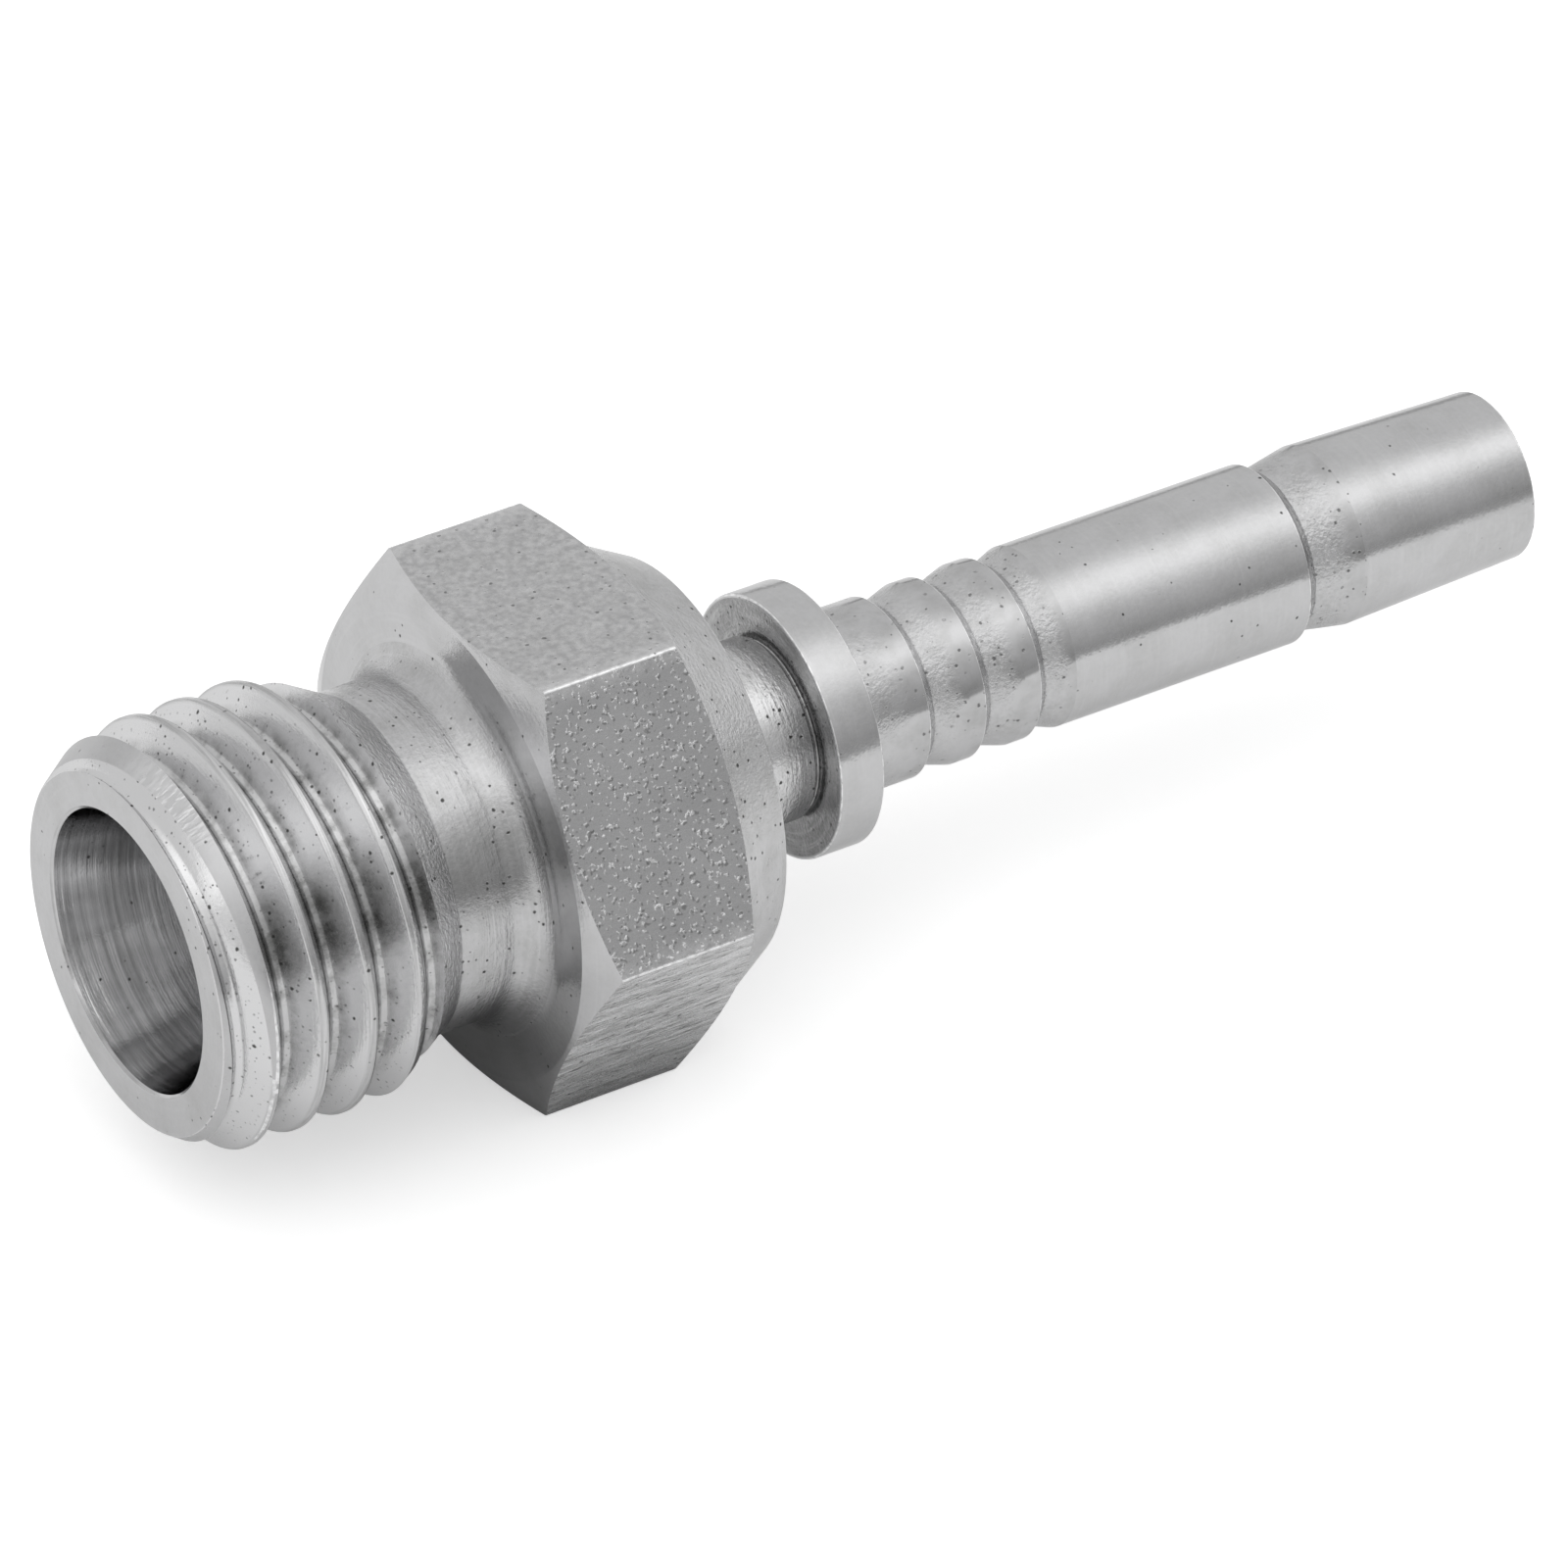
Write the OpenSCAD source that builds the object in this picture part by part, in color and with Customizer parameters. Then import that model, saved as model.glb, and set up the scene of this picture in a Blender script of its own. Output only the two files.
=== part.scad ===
// Hose barb tail: one piece turned from hexagon bar.
// Male metric thread with a 24 degree cone seat at one end, a hexagon in the
// middle, a collar that holds the crimped ferrule, and a ridged hose tail.
// The axis is X. X = 0 is the face at the thread end, the tail points to +X.
// Two hexagon flats are level, so the fitting lies on the lower one.
// All lengths are millimetres.

/* [Thread] */
// outside diameter of the thread
thread_d = 12; // [11:0.5:14]
// distance from one turn to the next
thread_pitch = 1.5; // [1:0.25:1.75]
// length from the face to where the relief cone starts
thread_len = 5.65; // [4:0.05:9]
// length of the lead chamfer
lead_len = 1.2; // [0.8:0.1:2]
// how far the lead chamfer goes in from the thread, across the radius
lead_depth = 0.8; // [0.5:0.05:0.8]
// turn of the thread start, seen along the axis
thread_turn_deg = 146; // [0:1:360]

/* [Relief neck] */
// how far the neck lies below the root of the thread
relief_depth = 0.18; // [0.1:0.02:0.4]
// length of the cone from the thread down to the neck
relief_len = 1.9; // [1.2:0.1:3]
// length of the straight neck
neck_len = 1.5; // [0.3:0.05:3]

/* [Hexagon] */
// radius of the hollow curve from the neck up to the front of the hexagon
fillet_size = 1; // [0.4:0.05:1.5]
// how far the front of the hexagon leans back towards its ring
face_lean = 0.05; // [0.02:0.01:0.2]
// width across the flats
hex_af = 14; // [13:0.5:19]
// length of the hexagon between its chamfer rings
hex_len = 5.25; // [4:0.05:9]
// angle of the corner chamfers, from the end face
chamfer_deg = 26; // [15:1:35]
// how far the sharp ring of each chamfer lies inside the flats
ring_inset = 0.1; // [0.05:0.05:0.4]

/* [Back cone] */
// length of the turned cone behind the hexagon
back_len = 1.85; // [1:0.05:4]
// diameter at the small end of that cone
back_d = 11.75; // [9:0.05:13]

/* [Ferrule collar] */
// length of the groove between the back cone and the collar
lock_len = 3; // [2:0.1:5]
// diameter of that groove
lock_d = 5.3; // [5:0.1:6]
// depth of the small undercut at the foot of the collar
undercut_depth = 0.15; // [0.05:0.01:0.2]
// length of the small undercut
undercut_len = 0.2; // [0.15:0.01:0.4]
// outside diameter of the collar
collar_d = 7.65; // [7:0.05:9]
// length of the collar rim
collar_len = 1.4; // [1:0.05:3]
// how far the front of the collar is dished
dish_depth = 0.13; // [0:0.01:0.3]

/* [Hose tail] */
// outside diameter of the tail
tail_d = 5.26; // [5:0.02:6]
// length of the smooth part between the collar and the first groove
lead_in_len = 2.25; // [1.5:0.05:5]
// distance from one groove to the next
ridge_pitch = 1.8; // [1.6:0.05:3]
// number of grooves
ridge_count = 3; // [1:1:5]
// depth of a groove
ridge_depth = 0.28; // [0.1:0.02:0.4]
// length of the steep side of a groove
drop_len = 0.3; // [0.15:0.05:0.4]
// length of the floor of a groove
floor_len = 0.12; // [0.05:0.01:0.2]
// length of the slow rise out of a groove
climb_len = 0.88; // [0.6:0.02:1]
// length of the long smooth part behind the last groove
long_len = 7.57; // [4:0.01:20]
// depth of the single notch behind the long part
notch_depth = 0.28; // [0.1:0.02:0.4]
// length of the steep side of that notch
notch_len = 0.35; // [0.2:0.05:0.8]
// length of the slow rise out of that notch
rise_len = 1.5; // [0.8:0.1:3]
// length of the end part
end_len = 5.8; // [3:0.1:12]
// how much smaller the very end is, across
end_taper = 0.36; // [0.1:0.02:0.6]

/* [Bore] */
// diameter of the 24 degree cone at the face
mouth_d = 8.1; // [7.6:0.1:8.4]
// width of the broken edge at the mouth
mouth_break = 0.07; // [0.05:0.01:0.12]
// diameter of the tube seat
seat_d = 6.1; // [5.8:0.1:6.4]
// depth of the tube seat from the face
seat_len = 7; // [6.6:0.1:9]
// diameter of the bore through the tail
through_d = 2.9; // [2:0.1:3.4]

/* [Hidden] */
// smoothness of the turned surfaces
$fn = 96;
turn = 360;
half_turn = turn / 2;
quarter = turn / 4;
// one overrun serves every cut
over = 1;

// thread form: 60 degree sides, flat crest and root
side_deg = 30;
crest_share = 1 / 8;
depth_share = 0.6134;
thread_r = thread_d / 2;
thread_depth = depth_share * thread_pitch;
root_r = thread_r - thread_depth;
crest_half = crest_share * thread_pitch / 2;
root_half = thread_pitch / 2 - crest_half - thread_depth * tan(side_deg);
// the cutter stands out past the crest by less than where its turns would meet
crest_clear_share = 0.7;
top_clear = crest_clear_share * crest_half / tan(side_deg);
top_r = thread_r + top_clear;
top_half = root_half + (top_r - root_r) * tan(side_deg);
steps_per_turn = 36;
section_points = 4;
// the cutter starts in front of the face and ends over the neck
run_in = top_half + crest_half;
cut_end = thread_len + relief_len + crest_half / 2;
cut_travel = run_in + cut_end;
cut_steps = ceil(cut_travel / thread_pitch * steps_per_turn);

// stations along the axis
relief_end = thread_len + relief_len;
face_r = thread_r - lead_depth;
neck_r = root_r - relief_depth;
hex_flat_r = hex_af / 2;
ring_r = hex_flat_r - ring_inset;
// the hollow curve is never higher than the step from the neck to the ring
fillet_r = min(fillet_size, ring_r - neck_r);
fillet_start = relief_end + neck_len;
hex_start = fillet_start + fillet_r + face_lean;
hex_end = hex_start + hex_len;
back_end = hex_end + back_len;
collar_start = back_end + lock_len;
collar_end = collar_start + collar_len;
groove_len = drop_len + floor_len + climb_len;
first_groove = collar_end + lead_in_len;
last_groove = first_groove + (ridge_count - 1) * ridge_pitch;
long_end = last_groove + groove_len + long_len;
notch_end = long_end + notch_len;
rise_end = notch_end + rise_len;
tail_end = rise_end + end_len;

// radii
hex_corner_r = hex_flat_r / cos(side_deg);
corner_clear = 0.2;
stock_r = hex_corner_r + corner_clear;
chamfer_len = (stock_r - ring_r) * tan(chamfer_deg);
back_r = back_d / 2;
lock_r = lock_d / 2;
undercut_r = lock_r - undercut_depth;
collar_r = collar_d / 2;
tail_r = tail_d / 2;
notch_r = tail_r - notch_depth;
end_r = tail_r - end_taper / 2;
floor_r = tail_r - ridge_depth;

// shape of the foot of the collar
dish_foot = collar_start + dish_depth;
undercut_start = dish_foot - undercut_len;
undercut_slope = undercut_depth / 2;

// smoothness of the hollow curve at the hexagon
fillet_steps = 12;

// bore
cone_half_deg = 12;
mouth_r = mouth_d / 2;
seat_r = seat_d / 2;
through_r = through_d / 2;
cone_len = (mouth_r - seat_r) / tan(cone_half_deg);
drill_half_deg = 59;
drill_len = (seat_r - through_r) / tan(drill_half_deg);

// points of the hollow curve at the hexagon, as radius and station
function fillet_points() = [
    for (i = [0 : fillet_steps])
        let (g = quarter * i / fillet_steps)
        [neck_r + fillet_r * (1 - cos(g)), fillet_start + fillet_r * sin(g)]
];

// points of one groove whose sharp edge is at station c
function groove_points(c) = [
    [tail_r, c],
    [floor_r, c + drop_len],
    [floor_r, c + drop_len + floor_len],
    [tail_r, c + groove_len]
];

function all_grooves() = [
    for (k = [0 : ridge_count - 1])
        for (p = groove_points(first_groove + k * ridge_pitch)) p
];

// half section of everything that is turned, as radius and station
function outline() = concat(
    [[0, 0], [face_r, 0], [thread_r, lead_len], [thread_r, thread_len], [neck_r, relief_end]],
    fillet_points(),
    [
        [ring_r, hex_start],
        [stock_r, hex_start + chamfer_len],
        [stock_r, hex_end - chamfer_len],
        [ring_r, hex_end],
        [back_r, back_end],
        [lock_r, back_end],
        [lock_r, undercut_start],
        [undercut_r, undercut_start + undercut_slope],
        [undercut_r, dish_foot],
        [collar_r, collar_start],
        [collar_r, collar_end],
        [tail_r, collar_end]
    ],
    all_grooves(),
    [
        [tail_r, long_end],
        [notch_r, notch_end],
        [tail_r, rise_end],
        [end_r, tail_end],
        [0, tail_end]
    ]
);

// one cross section of the thread cutter, at step i
function cut_ring(i) =
    let (g = thread_turn_deg - half_turn + turn * i / steps_per_turn)
    let (z = thread_pitch * i / steps_per_turn - run_in)
    [
        [root_r * cos(g), root_r * sin(g), z - root_half],
        [root_r * cos(g), root_r * sin(g), z + root_half],
        [top_r * cos(g), top_r * sin(g), z + top_half],
        [top_r * cos(g), top_r * sin(g), z - top_half]
    ];

// triangles between two neighbouring cross sections
function cut_sides() = [
    for (i = [0 : cut_steps - 1])
        for (k = [0 : section_points - 1])
            let (a = section_points * i + k)
            let (b = section_points * i + (k + 1) % section_points)
            let (a2 = a + section_points)
            let (b2 = b + section_points)
            for (t = [[a, b2, b], [a, a2, b2]]) t
];

// the V shaped cutter that winds round the thread
module thread_cutter() {
    points = [for (i = [0 : cut_steps]) for (p = cut_ring(i)) p];
    first_ring = [for (k = [0 : section_points - 1]) k];
    last_ring = [for (k = [section_points - 1 : -1 : 0]) section_points * cut_steps + k];
    polyhedron(points = points, faces = concat([first_ring, last_ring], cut_sides()));
}

// what is taken off round bar to leave the six flats
module hex_waste() {
    translate([0, 0, hex_start])
        difference() {
            cylinder(r = stock_r + over, h = hex_len);
            translate([0, 0, -over])
                rotate([0, 0, side_deg])
                    cylinder(r = hex_corner_r, h = hex_len + 2 * over, $fn = 6);
        }
}

// cone seat, tube seat, drill point and through bore in one half section
module bore_cut() {
    rotate_extrude()
        polygon([
            [0, -over],
            [mouth_r + mouth_break + over, -over],
            [mouth_r + mouth_break, 0],
            [mouth_r - mouth_break * tan(cone_half_deg), mouth_break],
            [seat_r, cone_len],
            [seat_r, seat_len],
            [through_r, seat_len + drill_len],
            [through_r, tail_end + over],
            [0, tail_end + over]
        ]);
}

// the whole fitting is one solid
module hose_tail() {
    color([0.72, 0.73, 0.74])
        rotate([0, quarter, 0])
            difference() {
                rotate_extrude()
                    polygon(outline());
                hex_waste();
                thread_cutter();
                bore_cut();
            }
}

hose_tail();
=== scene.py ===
import math

import bpy
from mathutils import Euler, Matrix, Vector


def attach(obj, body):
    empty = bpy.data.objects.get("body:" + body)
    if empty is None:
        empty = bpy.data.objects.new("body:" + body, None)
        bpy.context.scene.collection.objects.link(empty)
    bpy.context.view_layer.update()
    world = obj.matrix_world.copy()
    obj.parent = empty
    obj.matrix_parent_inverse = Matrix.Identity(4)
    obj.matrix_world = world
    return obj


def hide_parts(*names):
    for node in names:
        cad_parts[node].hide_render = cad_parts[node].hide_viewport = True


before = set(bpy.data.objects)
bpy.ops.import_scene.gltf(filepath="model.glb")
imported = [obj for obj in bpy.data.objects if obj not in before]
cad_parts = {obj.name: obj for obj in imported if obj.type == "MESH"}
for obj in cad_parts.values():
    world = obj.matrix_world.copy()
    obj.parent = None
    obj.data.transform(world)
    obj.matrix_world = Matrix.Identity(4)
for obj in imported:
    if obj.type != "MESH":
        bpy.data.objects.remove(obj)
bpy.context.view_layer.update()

# The fitting lies along X: the thread end is at zero, the hose end at +X, two flats are level.
# Sizes are written in millimetres and turned into metres where a piece is made.
MM = 0.001

# turned shape, as station along the axis, radius there and how far the corner is rounded
FACE = [(0, 4.12, 0.03), (0, 5.2, 0.05), (1.2, 6.0, 0.07)]
RELIEF = [(5.65, 6.0, 0.06), (7.55, 4.9, 0.3)]
NECK_R = 4.9
FILLET_R = 1.0
FILLET_START = 9.05
HEX_START = 10.1
HEX_END = 15.35
RING_R = 6.9
CHAMFER = [(10.7745, 8.283, 0), (14.6755, 8.283, 0), (HEX_END, RING_R, 0.04)]
BACK_CONE = [(17.2, 5.875, 0.1), (17.2, 2.65, 0.2)]
COLLAR_FOOT = [(20.13, 2.65, 0.04), (20.2, 2.5, 0.04), (20.33, 2.5, 0.1)]
COLLAR = [(20.2, 3.825, 0.1), (21.6, 3.825, 0.04), (21.6, 2.63, 0.1)]
GROOVES = [23.85, 25.65, 27.45]
TAIL_R = 2.63
GROOVE_R = 2.35
NOTCH = [(36.32, TAIL_R, 0.05), (36.67, GROOVE_R, 0.06), (38.17, TAIL_R, 0.3)]
TAIL_END = 43.97
END = [(TAIL_END, 2.45, 0.06), (TAIL_END, 1.45, 0.06)]
BORE = [(7.961, 1.45, 0.03), (7.0, 3.05, 0.05), (4.705, 3.05, 0.08), (0.08, 4.033, 0)]

# steps round the axis of everything that is turned
TURN_STEPS = 192
ARC_STEP = math.radians(15)

# hexagon bar
FLAT_R = 7.0
BAR_EDGE = 0.07

# thread
PITCH = 1.5
ROOT_R = 5.08
ROOT_ROUND = 0.216
CREST_R = 6.0
THREAD_TURNS = 6
THREAD_STEPS = 144
FIRST_GROOVE = -1.424

FLOOR_Z = -FLAT_R


def rounded(corners):
    """Points of a closed outline whose corners are turned into short arcs."""
    points = []
    count = len(corners)
    for i, (x, r, size) in enumerate(corners):
        here = Vector((x, r))
        back = Vector(corners[i - 1][:2]) - here
        ahead = Vector(corners[(i + 1) % count][:2]) - here
        if size == 0:
            points.append(here)
            continue
        half = back.angle(ahead) / 2
        reach = min(size / math.tan(half), 0.48 * back.length, 0.48 * ahead.length)
        size = reach * math.tan(half)
        start = here + back.normalized() * reach
        end = here + ahead.normalized() * reach
        middle = here + (back.normalized() + ahead.normalized()).normalized() * size / math.sin(half)
        step = ARC_STEP if size < 0.25 else ARC_STEP / 3
        steps = max(2, math.ceil((math.pi - 2 * half) / step))
        a, b = start - middle, end - middle
        sweep = a.angle(b)
        for k in range(steps + 1):
            u, v = math.sin(sweep * (1 - k / steps)), math.sin(sweep * k / steps)
            points.append(middle + (a * u + b * v) / math.sin(sweep))
    return points


def turned_outline():
    """The closed half section of the turned part: outside first, bore last."""
    fillet = [(FILLET_START + FILLET_R, NECK_R, FILLET_R), (HEX_START, RING_R, 0.03)]
    grooves = []
    for x in GROOVES:
        climb = 1.15 if x == GROOVES[-1] else 1.3
        grooves += [(x, TAIL_R, 0.04), (x + 0.3, GROOVE_R, 0.12), (x + 0.42, GROOVE_R, 0.3)]
        grooves += [(x + climb, TAIL_R, 0.05)]
    corners = FACE + RELIEF + fillet + CHAMFER + BACK_CONE + COLLAR_FOOT + COLLAR
    return rounded(corners + grooves + NOTCH + END + BORE)


def thread_groove():
    """The section of one groove of the thread, closed above the crest."""
    lip = [(0.621, 5.94), (0.638, 5.966), (0.662, 5.986), (0.695, 5.998), (0.72, 6.02), (0.735, 6.06)]
    side = [(0.735, 6.3)] + lip[::-1]
    root = []
    for k in range(9):
        g = math.radians(60 - 15 * k)
        root.append((ROOT_ROUND * math.sin(g), ROOT_R + ROOT_ROUND * (1 - math.cos(g))))
    left = [(-x, r) for x, r in reversed(side)]
    return [Vector((x + FIRST_GROOVE, r)) for x, r in side + root + left]


def only(piece):
    """Select one piece and make it the one that tools work on."""
    bpy.ops.object.select_all(action="DESELECT")
    piece.select_set(True)
    bpy.context.view_layer.objects.active = piece


def draw_section(name, points):
    """Draw a closed section in the XZ plane by extruding one point from corner to corner."""
    bpy.ops.object.select_all(action="DESELECT")
    bpy.ops.mesh.primitive_plane_add(size=MM, location=(0, 0, 0))
    piece = bpy.context.object
    piece.name = name
    bpy.ops.object.mode_set(mode="EDIT")
    bpy.ops.mesh.select_mode(type="VERT")
    bpy.ops.mesh.select_all(action="SELECT")
    bpy.ops.mesh.merge(type="CENTER")
    bpy.ops.transform.translate(value=(points[0].x * MM, 0, points[0].y * MM))
    for a, b in zip(points, points[1:] + points[:1]):
        step = ((b.x - a.x) * MM, 0, (b.y - a.y) * MM)
        bpy.ops.mesh.extrude_region_move(TRANSFORM_OT_translate={"value": step})
    bpy.ops.mesh.select_all(action="SELECT")
    bpy.ops.mesh.remove_doubles(threshold=0.0005 * MM)
    bpy.ops.object.mode_set(mode="OBJECT")
    return piece


def close_up(piece):
    """Merge doubles and turn the faces outward."""
    only(piece)
    bpy.ops.object.mode_set(mode="EDIT")
    bpy.ops.mesh.select_all(action="SELECT")
    bpy.ops.mesh.remove_doubles(threshold=0.0005 * MM)
    bpy.ops.mesh.normals_make_consistent(inside=False)
    bpy.ops.object.mode_set(mode="OBJECT")


def turn_blank():
    """Spin the half section round the axis."""
    piece = draw_section("hose_tail_body", turned_outline())
    bpy.ops.object.mode_set(mode="EDIT")
    bpy.ops.mesh.select_all(action="SELECT")
    bpy.ops.mesh.spin(steps=TURN_STEPS, angle=math.tau, center=(0, 0, 0), axis=(1, 0, 0))
    bpy.ops.object.mode_set(mode="OBJECT")
    close_up(piece)
    return piece


def hexagon_bar():
    """Hexagon bar with slightly rounded long edges, as long as the fitting and a little more."""
    spare = 2
    length = TAIL_END + 2 * spare
    corner = FLAT_R / math.cos(math.pi / 6)
    bpy.ops.object.select_all(action="DESELECT")
    bpy.ops.mesh.primitive_cylinder_add(
        vertices=6,
        radius=corner * MM,
        depth=length * MM,
        location=(TAIL_END / 2 * MM, 0, 0),
        rotation=(0, math.pi / 2, 0),
    )
    bar = bpy.context.object
    bar.name = "hexagon_bar"
    bpy.ops.object.transform_apply(location=True, rotation=True, scale=True)
    for edge in bar.data.edges:
        a, b = (bar.data.vertices[i].co for i in edge.vertices)
        edge.select = abs(a.x - b.x) > length / 2 * MM
    for face in bar.data.polygons:
        face.select = False
    bpy.ops.object.mode_set(mode="EDIT")
    bpy.ops.mesh.select_mode(type="EDGE")
    bpy.ops.mesh.bevel(offset=BAR_EDGE * MM, segments=4)
    bpy.ops.object.mode_set(mode="OBJECT")
    return bar


def thread_cutter():
    """The groove's section wound along the axis, closed at both ends."""
    cutter = draw_section("thread_cutter", thread_groove())
    bpy.ops.object.modifier_add(type="SCREW")
    screw = cutter.modifiers[-1]
    screw.axis = "X"
    screw.angle = math.tau
    screw.screw_offset = PITCH * MM
    screw.iterations = THREAD_TURNS
    screw.steps = THREAD_STEPS
    screw.render_steps = THREAD_STEPS
    bpy.ops.object.modifier_apply(modifier=screw.name)
    bpy.ops.object.mode_set(mode="EDIT")
    bpy.ops.mesh.select_all(action="SELECT")
    bpy.ops.mesh.fill_holes(sides=0)
    bpy.ops.object.mode_set(mode="OBJECT")
    close_up(cutter)
    return cutter


def cut(piece, other, operation):
    """Shape the piece by another one, which is then thrown away."""
    only(piece)
    bpy.ops.object.modifier_add(type="BOOLEAN")
    step = piece.modifiers[-1]
    step.operation = operation
    step.solver = "MANIFOLD"
    step.object = other
    bpy.ops.object.modifier_apply(modifier=step.name)
    bpy.data.objects.remove(other, do_unlink=True)


def finish_surface(piece):
    """Smooth the round surfaces and keep the flats flat."""
    close_up(piece)
    bpy.ops.object.shade_smooth_by_angle(angle=math.radians(32))
    bpy.ops.object.modifier_add(type="WEIGHTED_NORMAL")
    even = piece.modifiers[-1]
    even.keep_sharp = True
    bpy.ops.object.modifier_apply(modifier=even.name)


def make_body():
    body = turn_blank()
    cut(body, hexagon_bar(), "INTERSECT")
    cut(body, thread_cutter(), "DIFFERENCE")
    finish_surface(body)
    return body


def node(tree, kind, values=None, **settings):
    """Add a node, with its settings and the values of its sockets."""
    made = tree.nodes.new(kind)
    for name, value in settings.items():
        setattr(made, name, value)
    for name, value in (values or {}).items():
        if isinstance(value, bpy.types.NodeSocket):
            tree.links.new(value, made.inputs[name])
        else:
            made.inputs[name].default_value = value
    return made


def math_node(tree, operation, a, b=0.0, clamp=False):
    return node(tree, "ShaderNodeMath", {0: a, 1: b}, operation=operation, use_clamp=clamp).outputs[0]


def new_material(name):
    made = bpy.data.materials.new(name)
    made.use_nodes = True
    made.node_tree.nodes.clear()
    return made


def new_group(name, ins, outs):
    """A node group with named sockets, and its two end nodes."""
    group = bpy.data.node_groups.new(name, "ShaderNodeTree")
    for label, kind in ins:
        group.interface.new_socket(label, in_out="INPUT", socket_type="NodeSocket" + kind)
    for label, kind in outs:
        group.interface.new_socket(label, in_out="OUTPUT", socket_type="NodeSocket" + kind)
    return group, group.nodes.new("NodeGroupInput").outputs, group.nodes.new("NodeGroupOutput").inputs


def join(group, value, socket):
    group.links.new(value, socket)


def turning_line_group():
    """Fine lines round the axis, as a lathe tool leaves them on rods, cones and faces alike."""
    ins = [("Place", "Vector"), ("Lines per Metre", "Float"), ("Breaks", "Float")]
    group, given, out = new_group("turning_lines", ins, [("Height", "Float"), ("Radius", "Float")])
    parts = node(group, "ShaderNodeSeparateXYZ", {0: given["Place"]}).outputs
    across = node(group, "ShaderNodeCombineXYZ", {"Y": parts["Y"], "Z": parts["Z"]}).outputs[0]
    radius = node(group, "ShaderNodeVectorMath", {0: across}, operation="LENGTH").outputs["Value"]
    way = node(group, "ShaderNodeVectorMath", {0: across}, operation="NORMALIZE").outputs[0]
    way = node(group, "ShaderNodeSeparateXYZ", {0: way}).outputs
    along = math_node(group, "MULTIPLY", parts["X"], given["Lines per Metre"])
    out_from = math_node(group, "MULTIPLY", radius, given["Lines per Metre"])
    side = math_node(group, "MULTIPLY", way["Y"], given["Breaks"])
    up = math_node(group, "MULTIPLY", way["Z"], given["Breaks"])
    place = node(group, "ShaderNodeCombineXYZ", {"X": along, "Y": out_from, "Z": side}).outputs[0]
    lines = node(
        group,
        "ShaderNodeTexNoise",
        {"Vector": place, "W": up, "Scale": 1.0, "Detail": 3.0, "Roughness": 0.65},
        noise_dimensions="4D",
    )
    join(group, lines.outputs["Fac"], out["Height"])
    join(group, radius, out["Radius"])
    return group


def speck_group():
    """Small dark pits, few and of mixed size."""
    ins = [("Place", "Vector"), ("Cells per Metre", "Float"), ("Size", "Float"), ("Share", "Float")]
    group, given, out = new_group("dark_specks", ins, [("Mask", "Float"), ("Dome", "Float")])
    wobble = node(group, "ShaderNodeTexNoise", {"Vector": given["Place"], "Scale": 9000.0, "Detail": 1.0})
    shift = node(group, "ShaderNodeVectorMath", {0: wobble.outputs["Color"], "Scale": 0.00006}, operation="SCALE")
    place = node(group, "ShaderNodeVectorMath", {0: given["Place"], 1: shift.outputs[0]}, operation="ADD")
    cells = node(
        group, "ShaderNodeTexVoronoi", {"Vector": place.outputs[0], "Scale": given["Cells per Metre"]}
    ).outputs
    luck = node(group, "ShaderNodeSeparateColor", {0: cells["Color"]}).outputs
    chosen = math_node(group, "LESS_THAN", luck["Red"], given["Share"])
    size = math_node(group, "MULTIPLY", given["Size"], math_node(group, "ADD", luck["Green"], 0.35))
    rim = math_node(group, "MULTIPLY", size, 0.55)
    spot = node(
        group,
        "ShaderNodeMapRange",
        {"Value": cells["Distance"], "From Min": rim, "From Max": size, "To Min": 1.0, "To Max": 0.0},
    ).outputs["Result"]
    dome = node(
        group,
        "ShaderNodeMapRange",
        {"Value": cells["Distance"], "From Min": 0.0, "From Max": size, "To Min": 1.0, "To Max": 0.0},
        interpolation_type="SMOOTHSTEP",
    ).outputs["Result"]
    join(group, math_node(group, "MULTIPLY", spot, chosen), out["Mask"])
    join(group, math_node(group, "MULTIPLY", dome, chosen), out["Dome"])
    return group


def cloud_group():
    """Soft uneven patches between zero and one."""
    ins = [("Place", "Vector"), ("Patches per Metre", "Float"), ("Raggedness", "Float")]
    ins += [("From", "Float"), ("To", "Float")]
    group, given, out = new_group("soft_clouds", ins, [("Value", "Float")])
    noise = node(
        group,
        "ShaderNodeTexNoise",
        {
            "Vector": given["Place"],
            "Scale": given["Patches per Metre"],
            "Detail": given["Raggedness"],
            "Roughness": 0.6,
        },
    )
    value = node(
        group,
        "ShaderNodeMapRange",
        {"Value": noise.outputs["Fac"], "From Min": given["From"], "From Max": given["To"]},
    ).outputs["Result"]
    join(group, value, out["Value"])
    return group


LINES = turning_line_group()
SPECKS = speck_group()
CLOUDS = cloud_group()


def lines(tree, place, spacing, breaks=6.0):
    values = {"Place": place, "Lines per Metre": 1 / (spacing * MM), "Breaks": breaks}
    return node(tree, "ShaderNodeGroup", node_tree=LINES, values=values).outputs


def specks(tree, place, cell, size, share, shape="Mask"):
    values = {"Place": place, "Cells per Metre": 1 / (cell * MM), "Size": size / cell, "Share": share}
    return node(tree, "ShaderNodeGroup", node_tree=SPECKS, values=values).outputs[shape]


def clouds(tree, place, size, low=0.35, high=0.65, ragged=4.0):
    values = {"Place": place, "Patches per Metre": 1 / (size * MM), "Raggedness": ragged}
    values.update({"From": low, "To": high})
    return node(tree, "ShaderNodeGroup", node_tree=CLOUDS, values=values).outputs["Value"]


def ramp(tree, value, low, high, start=0.0, end=1.0):
    values = {"Value": value, "From Min": low, "From Max": high, "To Min": start, "To Max": end}
    return node(tree, "ShaderNodeMapRange", values).outputs["Result"]


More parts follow.
